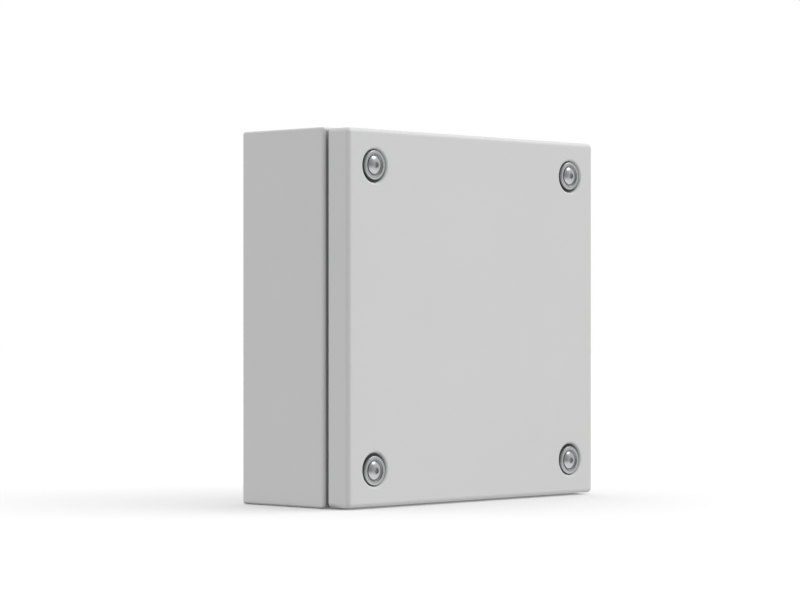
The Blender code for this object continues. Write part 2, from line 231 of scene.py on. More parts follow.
def turnedBrass():
    # Turned from brass rod and left bare: warm yellow that has begun to dull in patches.
    material, tree, shader, place = startMaterial("turnedBrass", Metallic=1.0)
    stain = addNode(tree, "ShaderNodeTexNoise",
                    {"Vector": place, "Scale": perMetre(brass["stain"]), "Detail": 5.0})
    rings = addNode(tree, "ShaderNodeTexWave",
                    {"Vector": place, "Scale": perMetre(brass["ripple"]) / ringsPerUnit,
                     "Distortion": 0.5}, wave_type="RINGS", rings_direction="Y")
    dull = addNode(tree, "ShaderNodeMapRange",
                   {"Value": stain.outputs[0], "From Min": brass["dullFrom"], "From Max": brass["dullTo"]})
    colour = addNode(tree, "ShaderNodeMix", {0: dull.outputs[0], 6: linear(brass["colour"]),
                                             7: linear(brass["colourDull"])}, data_type="RGBA")
    rough = addNode(tree, "ShaderNodeMapRange", roughnessRange(stain, brass))
    bump = addNode(tree, "ShaderNodeBump", {"Height": rings.outputs[1],
                   "Distance": brass["rippleHeight"] * mm})
    feed(tree, shader, Base_Color=colour.outputs[2], Roughness=rough.outputs[0], Normal=bump.outputs[0])
    return material


rubber = {"colour": "#363637", "colourBloom": "#4A4A4B", "roughness": 0.62, "bloom": 2.5,
          "grain": 0.25, "grainHeight": 0.006}


def mouldedRubber():
    # Moulded black rubber: matt, with a faint grey bloom and the fine grain of an eroded mould.
    material, tree, shader, place = startMaterial("mouldedRubber", Roughness=rubber["roughness"], IOR=1.52)
    bloom = addNode(tree, "ShaderNodeTexNoise",
                    {"Vector": place, "Scale": perMetre(rubber["bloom"]), "Detail": 4.0})
    grain = addNode(tree, "ShaderNodeTexNoise",
                    {"Vector": place, "Scale": perMetre(rubber["grain"]), "Detail": 2.0})
    colour = addNode(tree, "ShaderNodeMix", {0: bloom.outputs[0], 6: linear(rubber["colour"]),
                                             7: linear(rubber["colourBloom"])}, data_type="RGBA")
    bump = addNode(tree, "ShaderNodeBump", {"Height": grain.outputs[0],
                   "Distance": rubber["grainHeight"] * mm})
    feed(tree, shader, Base_Color=colour.outputs[2], Normal=bump.outputs[0])
    return material


foam = {"colour": "#2E2F31", "colourPore": "#191A1B", "roughness": 0.82,
        "pore": 0.9, "poreHeight": 0.10, "poreFrom": 0.1, "poreTo": 0.4,
        "skin": 5.0, "skinHeight": 0.06}


def foamedPolyurethane():
    # Liquid foam laid as a bead and risen in place: dark, dull skin with small closed pores.
    material, tree, shader, place = startMaterial("foamedPolyurethane",
                                                  Roughness=foam["roughness"], IOR=1.45)
    pores = addNode(tree, "ShaderNodeTexVoronoi", {"Vector": place, "Scale": perMetre(foam["pore"])})
    edge = addNode(tree, "ShaderNodeMapRange",
                   {"Value": pores.outputs["Distance"], "From Min": foam["poreFrom"],
                    "From Max": foam["poreTo"]})
    skin = addNode(tree, "ShaderNodeTexNoise",
                   {"Vector": place, "Scale": perMetre(foam["skin"]), "Detail": 3.0})
    colour = addNode(tree, "ShaderNodeMix", {0: edge.outputs[0], 6: linear(foam["colourPore"]),
                                             7: linear(foam["colour"])}, data_type="RGBA")
    skinBump = addNode(tree, "ShaderNodeBump",
                       {"Height": skin.outputs[0], "Distance": foam["skinHeight"] * mm})
    poreBump = addNode(tree, "ShaderNodeBump", {"Height": edge.outputs[0], "Normal": skinBump.outputs[0],
                       "Distance": foam["poreHeight"] * mm})
    feed(tree, shader, Base_Color=colour.outputs[2], Normal=poreBump.outputs[0])
    return material


plastic = {"colour": "#7C7D7E", "colourFlow": "#737475", "roughness": 0.48, "flow": 4.0,
           "grain": 0.3, "grainHeight": 0.004}


def mouldedPolyamide():
    # Injection-moulded polyamide: mid grey, satin, with faint flow marks and a spark-eroded grain.
    material, tree, shader, place = startMaterial("mouldedPolyamide",
                                                  Roughness=plastic["roughness"], IOR=1.53)
    flow = addNode(tree, "ShaderNodeTexNoise", {"Vector": place, "Scale": perMetre(plastic["flow"]),
                   "Detail": 2.0, "Distortion": 1.5})
    grain = addNode(tree, "ShaderNodeTexNoise",
                    {"Vector": place, "Scale": perMetre(plastic["grain"]), "Detail": 2.0})
    colour = addNode(tree, "ShaderNodeMix", {0: flow.outputs[0], 6: linear(plastic["colour"]),
                                             7: linear(plastic["colourFlow"])}, data_type="RGBA")
    bump = addNode(tree, "ShaderNodeBump", {"Height": grain.outputs[0],
                   "Distance": plastic["grainHeight"] * mm})
    feed(tree, shader, Base_Color=colour.outputs[2], Normal=bump.outputs[0])
    return material


coated = powderCoatedSteel("powderCoatedSteel", paint)
coatedWithGapShade = powderCoatedSteel("gapShadedCoatedSteel", gapShadePaint)
bright = nickelPlatedTurnedSteel()
socketSteel = thinlyPlatedSteel("broachedSteel", broached)
seatSteelWithPaintedShade = thinlyPlatedSteel("turnedSeatSteelPaintedShade", seat)
plated = zincPlatedSteel()
yellow = turnedBrass()
black = mouldedRubber()
bead = foamedPolyurethane()
grey = mouldedPolyamide()
print("materials made")


# Mesh tools

coarseEdge, plainEdge, fineEdge, fullEdge = 3, 4, 6, 8    # steps round a small edge, by how much it shows
crestFlat, flankSlope = 0.2, 1.5                          # a thread's groove is a clipped triangle wave


def inMetres(sizes, *keys):
    # sizes of a piece from its dictionary of millimetres
    return [sizes[key] * mm for key in keys]


def arcPoints(centre, radius, start, end, steps):
    angles = [math.radians(start + (end - start) * i / steps) for i in range(steps + 1)]
    return [(centre[0] + radius * math.cos(a), centre[1] + radius * math.sin(a)) for a in angles]


def circlePoints(radius, steps, x=0.0, z=0.0):
    turns = [2 * math.pi * i / steps for i in range(steps)]
    return [(x + radius * math.cos(a), z + radius * math.sin(a)) for a in turns]


def hexagonPoints(flats, steps, turn=0.0, limit=None):
    # a hexagon with many points on its sides; limit is a circle that cuts its corners off
    points = []
    for i in range(steps):
        a = 2 * math.pi * i / steps
        toFlat = (a + math.pi / 6) % (math.pi / 3) - math.pi / 6
        reach = flats / 2 / math.cos(math.pi / 6 - abs(toFlat))
        if limit:
            reach = min(reach, limit)
        points.append((reach * math.cos(a + turn), reach * math.sin(a + turn)))
    return points


def roundedRectangle(low, high, inset, radius, steps):
    # outline in XZ between two corners of a box, drawn in by inset
    x0, x1, z0, z1 = low.x + inset, high.x - inset, low.z + inset, high.z - inset
    centres = ((x1 - radius, z1 - radius, 0), (x0 + radius, z1 - radius, 90),
               (x0 + radius, z0 + radius, 180), (x1 - radius, z0 + radius, 270))
    points = []
    for x, z, start in centres:
        points += arcPoints((x, z), radius, start, start + 90, steps)
    return points


def addRing(shape, outline, y):
    return [shape.verts.new((x, y, z)) for x, z in outline]


def joinRings(shape, rings, closed=False):
    pairs = list(zip(rings, rings[1:])) + ([(rings[-1], rings[0])] if closed else [])
    for first, second in pairs:
        for i in range(len(first)):
            j = (i + 1) % len(first)
            shape.faces.new((first[i], first[j], second[j], second[i]))


def fillFlat(shape, outline, holes=()):
    edges = []
    for ring in (outline, *holes):
        edges += [shape.edges.get((ring[i - 1], ring[i])) for i in range(len(ring))]
    bmesh.ops.triangle_fill(shape, use_beauty=True, edges=edges)


def turnedRings(shape, profile, steps, x=0.0, z=0.0):
    # profile points are (radius, y)
    return [addRing(shape, circlePoints(radius, steps, x, z), y) for radius, y in profile]


def threadRings(shape, radius, pitch, depth, start, end, steps, tip=0.0):
    # rings along Y whose radius follows a helix; the groove fades in at the start, tip is the end's chamfer
    rings = []
    perTurn = 10
    facing = 1 if end > start else -1
    count = max(2, round(abs(end - start) / pitch * perTurn))
    for i in range(count + 1):
        along = abs(end - start) * i / count
        left = abs(end - start) - along
        envelope = radius - max(0.0, tip - left)
        ring = []
        for k in range(steps):
            phase = (along / pitch - facing * k / steps) % 1
            groove = min(1.0, max(0.0, (1 - abs(2 * phase - 1)) * flankSlope - crestFlat))
            reach = envelope - depth * groove * min(1.0, along / pitch)
            a = 2 * math.pi * k / steps
            ring.append(shape.verts.new((reach * math.cos(a), start + facing * along, reach * math.sin(a))))
        rings.append(ring)
    return rings


def makePiece(name, shape, material, body, node, place=(0, 0, 0), sharp=38):
    # a finished piece that stands for a CAD node and rides on its body
    bmesh.ops.recalc_face_normals(shape, faces=shape.faces)
    mesh = bpy.data.meshes.new(name)
    shape.to_mesh(mesh)
    shape.free()
    mesh.shade_smooth()
    mesh.set_sharp_from_angle(angle=math.radians(sharp))
    mesh.materials.append(material)
    piece = bpy.data.objects.new(name, mesh)
    bpy.context.scene.collection.objects.link(piece)
    piece.location = place
    flat = piece.modifiers.new("flatFacesStayFlat", "WEIGHTED_NORMAL")
    flat.keep_sharp = True
    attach(piece, body)
    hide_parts(node)
    return piece


def axisOf(node):
    # x and z of the axis of a node that is turned about Y
    low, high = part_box(node)
    return (low.x + high.x) / 2, (low.z + high.z) / 2


def frontOf(node):
    # where that axis starts, at the node's front
    x, z = axisOf(node)
    return x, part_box(node)[0].y, z


# Case and lid: folded sheet, finer than the solids at folds, wells and holes

sheetSizes = {
    "sheet": 1.5, "fold": 2.5, "seam": 0.4, "foldSteps": 10,
    "caseCorner": 1.2, "rim": 6.0, "rimFront": 17.3, "rimFold": 2.0,
    "wallHole": 4.25, "holeBevel": 0.15, "holeSteps": 64,
    "wellRadius": 8.75, "wellDepth": 3.2, "wellMouth": 1.55, "mouthSteps": 12, "wellCorner": 0.5,
    "screwHole": 3.5, "wellSteps": 96,
    "gapShadeInset": 1.6, "gapShadeBehind": 0.6,             # where the painted gap shade starts, from side and rim
}


def sheetRings(shape, section, low, high, corner):
    # a section, points (inset, y), carried round the box with rounded corners
    rings = []
    for inset, y in section:
        radius = max(corner - inset, sheetSizes["seam"] * mm)
        rings.append(addRing(shape, roundedRectangle(low, high, inset, radius, sheetSizes["foldSteps"]), y))
    return rings


def buildCase():
    # rear panel, four walls, rim turned in at the front and lip turned forward to the seal
    sheet, fold, rim, rimFold = inMetres(sheetSizes, "sheet", "fold", "rim", "rimFold")
    radius, bevel = inMetres(sheetSizes, "wallHole", "holeBevel")
    steps = sheetSizes["foldSteps"]
    rear = caseHigh.y
    rimY = lidFace + sheetSizes["rimFront"] * mm
    lipY = caseLow.y
    inner = fold - sheet
    backFold = (fold, rear - fold)
    frontFold = (rimFold, rimY + rimFold)
    lipFold = (rim - inner, rimY - inner)
    section = arcPoints(backFold, fold, 90, 180, steps)
    section += arcPoints(frontFold, rimFold, 180, 270, steps)
    section += arcPoints(lipFold, inner, 90, 0, steps)
    section += arcPoints((rim + sheet / 2, lipY + sheet / 2), sheet / 2, 180, 360, fineEdge)   # sheared
    section += arcPoints(lipFold, fold, 0, 90, steps)
    section += arcPoints(frontFold, rimFold - sheet, 270, 180, steps)
    section += arcPoints(backFold, inner, 180, 90, steps)
    shape = bmesh.new()
    rings = sheetRings(shape, section, caseLow, caseHigh, sheetSizes["caseCorner"] * mm)
    joinRings(shape, rings)
    holes = []
    for number in corners:
        x, z = axisOf(f"wall_plug_{number}")
        wall = [(radius + bevel, rear), (radius, rear - bevel), (radius, rear - sheet + bevel),
                (radius + bevel, rear - sheet)]
        holes.append(turnedRings(shape, wall, sheetSizes["holeSteps"], x, z))
        joinRings(shape, holes[-1])
    fillFlat(shape, rings[0], [hole[0] for hole in holes])
    fillFlat(shape, rings[-1], [hole[-1] for hole in holes])
    case = makePiece("folded_case", shape, coated, "enclosure", "enclosure_body")
    case.data.materials.append(coatedWithGapShade)
    gapShadeInset, gapShadeBehind = inMetres(sheetSizes, "gapShadeInset", "gapShadeBehind")
    # faces inside the gap between lid and case take the darker paint: painted shade
    for face in case.data.polygons:
        inset = min(face.center.x - caseLow.x, caseHigh.x - face.center.x,
                    face.center.z - caseLow.z, caseHigh.z - face.center.z)
        inGapShade = inset > gapShadeInset and face.center.y < rimY + gapShadeBehind
        face.material_index = int(inGapShade and inset < rim + sheet / 2)


def buildLid():
    # folded tray, its face pressed into four wells that carry the screws
    sheet, fold = inMetres(sheetSizes, "sheet", "fold")
    hole, mouth, turn = inMetres(sheetSizes, "screwHole", "wellMouth", "wellCorner")
    radius, depth = inMetres(sheetSizes, "wellRadius", "wellDepth")
    steps = sheetSizes["foldSteps"]
    inner = fold - sheet
    foldCentre = (fold, lidFace + fold)
    edge = lidHigh.y
    section = arcPoints(foldCentre, fold, 270, 180, steps)
    section += arcPoints((sheet / 2, edge - sheet / 2), sheet / 2, 180, 0, fineEdge)           # sheared
    section += arcPoints(foldCentre, inner, 180, 270, steps)
    corner = (radius - turn, lidFace + depth - turn)
    profile = arcPoints((radius + mouth, lidFace + mouth), mouth, 270, 180, sheetSizes["mouthSteps"])
    profile += arcPoints(corner, turn, 0, 90, fineEdge)
    profile += [(hole, lidFace + depth), (hole, lidFace + depth + sheet)]
    profile += arcPoints(corner, turn + sheet, 90, 0, fullEdge)
    profile += arcPoints((radius + sheet + turn, lidFace + sheet + turn), turn, 180, 270, plainEdge)
    shape = bmesh.new()
    rings = sheetRings(shape, section, lidLow, lidHigh, fold)
    joinRings(shape, rings)
    wells = []
    for number in corners:
        x, z = axisOf(f"sealing_washer_{number}")            # this washer lies in the middle of its well
        wells.append(turnedRings(shape, profile, sheetSizes["wellSteps"], x, z))
        joinRings(shape, wells[-1])
    fillFlat(shape, rings[0], [well[0] for well in wells])
    fillFlat(shape, rings[-1], [well[-1] for well in wells])
    makePiece("pressed_lid", shape, coated, "lid", "lid")


buildCase()
buildLid()
print("case and lid folded")


# Seal: a bead of foam laid inside the lid

sealSizes = {
    "width": 4.4, "footRadius": 0.5, "crownShare": 0.55, "crownSteps": 12, "pointGap": 2.0,
    "cornerShare": 1.05,                             # bend at the lid's corners, in half widths
    "waver": 0.10, "waves": 37, "slowShare": 0.6, "fastShare": 0.4, "fastness": 2.3,
}


def buildSeal():
    # D-shaped bead, flat on the lid, whose sides waver a little as laid foam does
    low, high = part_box("lid_seal")
    width, foot, waver = inMetres(sealSizes, "width", "footRadius", "waver")
    rise = (high.y - low.y) * sealSizes["crownShare"]
    half = width / 2
    crown = [(foot + waver, low.y), (waver, low.y + foot)]
    count = sealSizes["crownSteps"]
    for i in range(count + 1):
        a = math.pi * i / count
        crown.append((half - (half - waver) * math.cos(a), high.y - rise * (1 - math.sin(a))))
    crown += [(width - waver, low.y + foot), (width - foot - waver, low.y)]
    shape = bmesh.new()
    rings = []
    for point, outwards, along in sealPath(low, high, half):
        wave = along * sealSizes["waves"]
        sway = waver * (sealSizes["slowShare"] * math.sin(wave)
                        + sealSizes["fastShare"] * math.sin(wave * sealSizes["fastness"]))
        outline = []
        for across, y in crown:
            reach = half - across + sway
            outline.append((point[0] + outwards[0] * reach, y, point[1] + outwards[1] * reach))
        rings.append([shape.verts.new(place) for place in outline])
    joinRings(shape, rings, closed=True)
    makePiece("foamed_seal", shape, bead, "lid", "lid_seal", sharp=60)


def sealPath(low, high, inset):
    # middle line of the bead: points, outward directions and angles round the lid
    outline = roundedRectangle(low, high, inset, inset * sealSizes["cornerShare"], fullEdge)
    points = []
    gap = sealSizes["pointGap"] * mm
    for i, start in enumerate(outline):
        end = outline[(i + 1) % len(outline)]
        run = math.dist(start, end)
        count = max(1, round(run / gap))
        points += [(start[0] + (end[0] - start[0]) * k / count, start[1] + (end[1] - start[1]) * k / count)
                   for k in range(count)]
    middle = ((low.x + high.x) / 2, (low.z + high.z) / 2)
    path = []
    for i, point in enumerate(points):
        before, after = points[i - 1], points[(i + 1) % len(points)]
        tangent = Vector((after[0] - before[0], after[1] - before[1])).normalized()
        outwards = (tangent.y, -tangent.x)
        path.append((point, outwards, math.atan2(point[1] - middle[1], point[0] - middle[0])))
    return path


buildSeal()
print("seal laid")


# Cover screws with their washers, each built about its own axis

screwSizes = {
    "head": 4.8, "dome": 1.4, "rim": 0.3, "edge": 0.08, "domeSteps": 14,
    "socket": 3.0, "socketDepth": 1.0, "socketChamfer": 0.12, "socketMouth": 0.03, "land": 0.2,
    "drillPoint": 0.35, "pointRadius": 0.15,
    "shank": 2.5, "pitch": 0.8, "threadDepth": 0.43, "threadStart": 7.2, "tip": 1.0, "steps": 72,
    "turns": {1: 14, 2: -22, 3: 37, 4: 3},           # how far each screw happens to be turned
}


def buildScrew(number):
    # domed head with a hexagon socket, plain neck, thread to the chamfered tip
    sizes = screwSizes
    node = f"lid_screw_{number}"
    low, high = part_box(node)
    head, dome, rim, edge, shank = inMetres(sizes, "head", "dome", "rim", "edge", "shank")
    flats, depth, chamfer, mouth = inMetres(sizes, "socket", "socketDepth", "socketChamfer", "socketMouth")
    drillPoint, pointRadius = inMetres(sizes, "drillPoint", "pointRadius")
    pitch, groove, threadStart, tip = inMetres(sizes, "pitch", "threadDepth", "threadStart", "tip")
    steps = sizes["steps"]
    turn = math.radians(sizes["turns"][number])
    land = flats / math.sqrt(3) + sizes["land"] * mm
    centre = (head ** 2 + dome ** 2 - land ** 2) / (2 * dome)
    sphere = math.hypot(land, centre)
    inner, outer = (math.degrees(math.asin(r / sphere)) for r in (land, head))
    shape = bmesh.new()
    rings = [addRing(shape, circlePoints(pointRadius, steps), depth + drillPoint),
             addRing(shape, circlePoints(flats / 2 - chamfer, steps), depth),
             addRing(shape, hexagonPoints(flats, steps, turn), depth),
             addRing(shape, hexagonPoints(flats, steps, turn), chamfer),
             addRing(shape, hexagonPoints(flats + 2 * chamfer, steps, turn), mouth)]
    profile = arcPoints((0, centre), sphere, inner - 90, outer - 90, sizes["domeSteps"])
    profile += arcPoints((head - edge, dome + rim - edge), edge, 0, 90, coarseEdge)
    profile += [(shank + edge, dome + rim), (shank, dome + rim + edge)]
    rings += turnedRings(shape, profile, steps)
    rings += threadRings(shape, shank, pitch, groove, threadStart, high.y - low.y, steps, tip)
    joinRings(shape, rings)
    fillFlat(shape, rings[0])
    fillFlat(shape, rings[-1])
    screw = makePiece(f"cover_screw_{number}", shape, bright, f"screw_{number}", node,
                      frontOf(node))
    screw.data.materials.append(socketSteel)
    for face in screw.data.polygons:
        reach = math.hypot(face.center.x, face.center.z)
        inSocket = reach < land and chamfer / 2 < face.center.y < 2 * depth    # the tip's faces lie deeper
        face.material_index = int(inSocket)


cupSizes = {
    "radius": 7.8, "edge": 0.8, "ring": 6.0, "crown": 0.06, "crownSteps": 10, "crownEnd": 13,
    "seat": 5.1, "bore": 2.8, "floor": 0.6, "step": 0.3, "round": 0.12, "coveSteps": 6, "steps": 96,
    "dullShadedSide": 0.28,                                # how far the side's dull, darker skin, painted shade, reaches in over the edge
}


def buildCup(number):
    # turned cup: rounded rim, polished ring with a slight crown, hollow slope down to the head's seat
    sizes = cupSizes
    node = f"cup_washer_{number}"
    low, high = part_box(node)
    radius, edge, ring, crown = inMetres(sizes, "radius", "edge", "ring", "crown")
    seat, bore, soft, dullShadedSide = inMetres(sizes, "seat", "bore", "round", "dullShadedSide")
    back = high.y - low.y
    floor = back - sizes["floor"] * mm
    step = floor - sizes["step"] * mm
    lean = sizes["crownEnd"]
    rim = arcPoints((radius - edge, crown + edge * math.cos(math.radians(lean))), edge,
                    270 + lean, 360, fullEdge)
    shares = [i / sizes["crownSteps"] for i in range(sizes["crownSteps"])]
    profile = [(ring + (rim[0][0] - ring) * t, crown * (1 - 2 * t) ** 2) for t in shares] + rim
    profile += [(radius, back - soft), (radius - soft, back), (bore + soft, back), (bore, back - soft),
                (bore, floor + soft), (bore + soft, floor), (seat - soft, floor),
                (seat, floor - soft)]
    profile += [(seat + (ring - soft - seat) * across, crown + soft + (step - crown - soft) * down)
                for across, down in arcPoints((0, 0), 1.0, 90, 0, sizes["coveSteps"])]
    shape = bmesh.new()
    joinRings(shape, turnedRings(shape, profile, sizes["steps"]), closed=True)
    cup = makePiece(f"turned_cup_{number}", shape, bright, "lid", node, frontOf(node),
                    sharp=30)
    cup.data.materials.append(seatSteelWithPaintedShade)
    # the groove and the outer side take the darker seat steel: painted shade
    for face in cup.data.polygons:
        reach = math.hypot(face.center.x, face.center.z)
        inShadedGroove = reach < ring and face.center.y > crown
        onShadedSide = reach > radius - dullShadedSide
        face.material_index = int(inShadedGroove or onShadedSide)


def roundedRing(node, bore, soft):
    # section of a flat ring with rounded edges, sizes from the node's own box
    low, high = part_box(node)
    radius = (high.x - low.x) / 2
    height = high.y - low.y
    profile = []
    for reach, y, start in ((radius - soft, height - soft, 90), (radius - soft, soft, 0),
                            (bore + soft, soft, 270), (bore + soft, height - soft, 180)):
        profile += arcPoints((reach, y), soft, start, start - 90, plainEdge)
    return profile


washerSizes = {
    "rubberBore": 3.3, "rubberEdge": 0.28, "steps": 96, "clipBore": 2.8, "clipEdge": 0.12,
    "notches": 6, "notchDepth": 0.45, "notchReach": 0.5, "notchShare": 0.24,    # share of a notch's turn
}


def buildWashers(number):
    # rubber washer under the cup, and the toothed clip that keeps the screw in the lid
    sizes = washerSizes
    steps, notches = sizes["steps"], sizes["notches"]
    node = f"sealing_washer_{number}"
    profile = roundedRing(node, *inMetres(sizes, "rubberBore", "rubberEdge"))
    shape = bmesh.new()
    joinRings(shape, turnedRings(shape, profile, steps), closed=True)
    makePiece(f"rubber_washer_{number}", shape, black, "lid", node, frontOf(node))

    node = f"retaining_washer_{number}"
    clipBore, clipEdge = inMetres(sizes, "clipBore", "clipEdge")
    notchDepth, notchReach = inMetres(sizes, "notchDepth", "notchReach")
    shape = bmesh.new()
    rings = []
    for radius, y in roundedRing(node, clipBore, clipEdge):
        outline = []
        for i in range(steps):
            phase = abs((i * notches / steps) % 1 - 0.5)
            notched = radius < clipBore + notchReach and phase < sizes["notchShare"]
            reach = radius + (notchDepth if notched else 0.0)
            a = 2 * math.pi * i / steps
            outline.append((reach * math.cos(a), reach * math.sin(a)))
        rings.append(addRing(shape, outline, y))
    joinRings(shape, rings, closed=True)
    makePiece(f"clip_washer_{number}", shape, plated, f"screw_{number}", node, frontOf(node))


for number in corners:
    buildScrew(number)
    buildCup(number)
    buildWashers(number)
print("screws and washers turned")


# Brackets and bushes in the corners of the case

bracketSizes = {"edge": 0.35, "merge": 0.01, "flatAngle": 1, "edgeAngle": 50}


def buildBracket(number):
    # the solid's own form with its sheared edges and bends rounded
    node = f"corner_bracket_{number}"
    shape = bmesh.new()
    shape.from_mesh(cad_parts[node].data)
    bmesh.ops.remove_doubles(shape, verts=shape.verts, dist=bracketSizes["merge"] * mm)
    bmesh.ops.dissolve_limit(shape, angle_limit=math.radians(bracketSizes["flatAngle"]),
                             verts=shape.verts, edges=shape.edges)
    piece = makePiece(f"folded_bracket_{number}", shape, plated, "enclosure", node)
    piece.modifiers.clear()
    edge = piece.modifiers.new("roundedEdges", "BEVEL")
    edge.width = bracketSizes["edge"] * mm
    edge.segments = coarseEdge
    edge.limit_method = "ANGLE"
    edge.angle_limit = math.radians(bracketSizes["edgeAngle"])
    edge.harden_normals = True


bushSizes = {
    "bore": 2.8, "body": 4.2, "flange": 6.5, "flangeHeight": 1.5, "edge": 0.2, "mouth": 0.4,
    "pitch": 0.8, "threadDepth": -0.32, "steps": 72,
}


def buildBush(number):
    # riveted bush: flange behind the bracket, plain body, threaded bore with a countersunk mouth
    sizes = bushSizes
    node = f"nut_bush_{number}"
    low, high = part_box(node)
    bore, body, flange, edge, mouth = inMetres(sizes, "bore", "body", "flange", "edge", "mouth")
    flangeHeight, pitch, groove = inMetres(sizes, "flangeHeight", "pitch", "threadDepth")
    length = high.y - low.y
    step = length - flangeHeight
    steps = sizes["steps"]
    profile = [(bore + mouth, 0.0)]
    profile += arcPoints((body - edge, edge), edge, 270, 360, plainEdge)
    profile += [(body, step), (flange - edge, step)]
    profile += arcPoints((flange - edge, step + edge), edge, 270, 360, coarseEdge)
    profile += arcPoints((flange - edge, length - edge), edge, 0, 90, plainEdge)
    profile += [(bore + mouth, length)]
    shape = bmesh.new()
    rings = turnedRings(shape, profile, steps)
    rings += threadRings(shape, bore, pitch, groove, length - mouth, mouth, steps)
    joinRings(shape, rings, closed=True)
    makePiece(f"threaded_bush_{number}", shape, plated, "enclosure", node, frontOf(node))


plugSizes = {
    "stem": 3.95, "wall": 1.0, "brim": 6.5, "brimHeight": 1.4, "edge": 0.35,
    "gate": 0.3, "steps": 72,                        # gate: small flat in the middle of the hollow's floor
}


def buildPlug(number):
    # hollow plastic plug, its domed brim inside the case and its stem through the wall
    sizes = plugSizes
    node = f"wall_plug_{number}"
    low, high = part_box(node)
    stem, wall, brim, height, edge = inMetres(sizes, "stem", "wall", "brim", "brimHeight", "edge")
    length = high.y - low.y
    hollow = stem - wall
    profile = [(sizes["gate"] * mm, length - wall)]
    profile += arcPoints((hollow - edge, length - wall - edge), edge, 90, 0, plainEdge)
    profile += arcPoints((hollow + edge, edge), edge, 180, 270, plainEdge)
    profile += arcPoints((brim - wall / 2, wall / 2), wall / 2, 270, 360, fineEdge)
    profile += [(brim, height), (stem, height), (stem, length - edge)]
    profile += arcPoints((stem - edge, length - edge), edge, 0, 90, plainEdge)
    shape = bmesh.new()
    rings = turnedRings(shape, profile, sizes["steps"])
    joinRings(shape, rings)
    fillFlat(shape, rings[0])
    fillFlat(shape, rings[-1])
    makePiece(f"hole_plug_{number}", shape, grey, "enclosure", node, frontOf(node))


# Studs and earth connections

studSizes = {
    "radius": 2.5, "pitch": 0.8, "threadDepth": 0.42, "chamfer": 0.625, "foot": 3.4, "footHeight": 0.9,
    "neckFlare": 0.05, "neckHeight": 0.1, "threadStart": 0.3, "steps": 60,      # counted from the foot's top
}
earthStudSizes = dict(studSizes, radius=3.0, pitch=1.0, threadDepth=0.52, chamfer=0.75, foot=3.9)


def buildStud(name, node, sizes, facing, material, body):
    # welded stud: foot with a rolled weld collar, thread to a chamfered end; facing is its way along Y
    low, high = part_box(node)
    radius, pitch, groove, chamfer = inMetres(sizes, "radius", "pitch", "threadDepth", "chamfer")
    foot, height, flare = inMetres(sizes, "foot", "footHeight", "neckFlare")
    neckHeight, threadStart = inMetres(sizes, "neckHeight", "threadStart")
    length = high.y - low.y
    steps = sizes["steps"]
    collar = (foot - height / 2, height / 2)
    profile = [(radius / 2, 0.0)] + arcPoints(collar, height / 2, -90, 90, fullEdge)
    profile += [(radius + flare, height), (radius, height + neckHeight)]
    shape = bmesh.new()
    rings = turnedRings(shape, [(r, facing * y) for r, y in profile], steps)
    rings += threadRings(shape, radius, pitch, groove, facing * (height + threadStart),
                         facing * length, steps, chamfer)
    joinRings(shape, rings)
    fillFlat(shape, rings[0])
    fillFlat(shape, rings[-1])
    x, z = axisOf(node)
    start = low.y if facing > 0 else high.y
    makePiece(name, shape, material, body, node, (x, start, z))


nutSizes = {
    "bore": 3.3, "flats": 10.0, "chamfer": 0.75, "chamferSteps": 6, "faceShare": 0.97, "mouth": 0.45,
    "pitch": 1.0, "threadDepth": -0.35, "steps": 72,     # faceShare: round end face, as share of the flats
}


def buildNut(name, node, body):
    # hexagon nut with turned corners and a countersunk, threaded bore
    sizes = nutSizes
    low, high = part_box(node)
    bore, flats, chamfer, mouth = inMetres(sizes, "bore", "flats", "chamfer", "mouth")
    pitch, groove = inMetres(sizes, "pitch", "threadDepth")
    height = high.y - low.y
    steps = sizes["steps"]
    corner = flats / math.sqrt(3)
    face = flats / 2 * sizes["faceShare"]
    cuts = []                                            # circle that trims the hexagon, and its depth
    for i in range(sizes["chamferSteps"] + 1):
        share = i / sizes["chamferSteps"]
        cuts.append((face + (corner - face) * share, chamfer * share))
    shape = bmesh.new()
    rings = [addRing(shape, circlePoints(bore + mouth, steps), 0.0)]
    rings += [addRing(shape, hexagonPoints(flats, steps, 0, limit), depth) for limit, depth in cuts]
    rings += [addRing(shape, hexagonPoints(flats, steps, 0, limit), height - depth)
              for limit, depth in reversed(cuts)]
    rings.append(addRing(shape, circlePoints(bore + mouth, steps), height))
    rings += threadRings(shape, bore, pitch, groove, height - mouth, mouth, steps)
    joinRings(shape, rings, closed=True)
    makePiece(name, shape, plated, body, node, frontOf(node), sharp=25)


lockSizes = {
    "bore": 3.3, "edge": 0.1, "teeth": 14, "toothSteps": 8, "gapSteps": 3,       # steps round the washer
    "toothDepth": 0.7, "toothReach": 0.6,
}


def buildToothedWasher(name, node, body):
    # lock washer with teeth round its outside that bite through the paint
    sizes = lockSizes
    bore, edge, toothDepth, toothReach = inMetres(sizes, "bore", "edge", "toothDepth", "toothReach")
    toothSteps = sizes["toothSteps"]
    profile = roundedRing(node, bore, edge)
    radius = max(reach for reach, y in profile)
    steps = sizes["teeth"] * toothSteps
    shape = bmesh.new()
    rings = []
    for reach, y in profile:
        outline = []
        for i in range(steps):
            between = i % toothSteps >= toothSteps - sizes["gapSteps"]
            cut = toothDepth if between and reach > radius - toothReach else 0.0
            a = 2 * math.pi * i / steps
            outline.append(((reach - cut) * math.cos(a), (reach - cut) * math.sin(a)))
        rings.append(addRing(shape, outline, y))
    joinRings(shape, rings, closed=True)
    makePiece(name, shape, plated, body, node, frontOf(node))


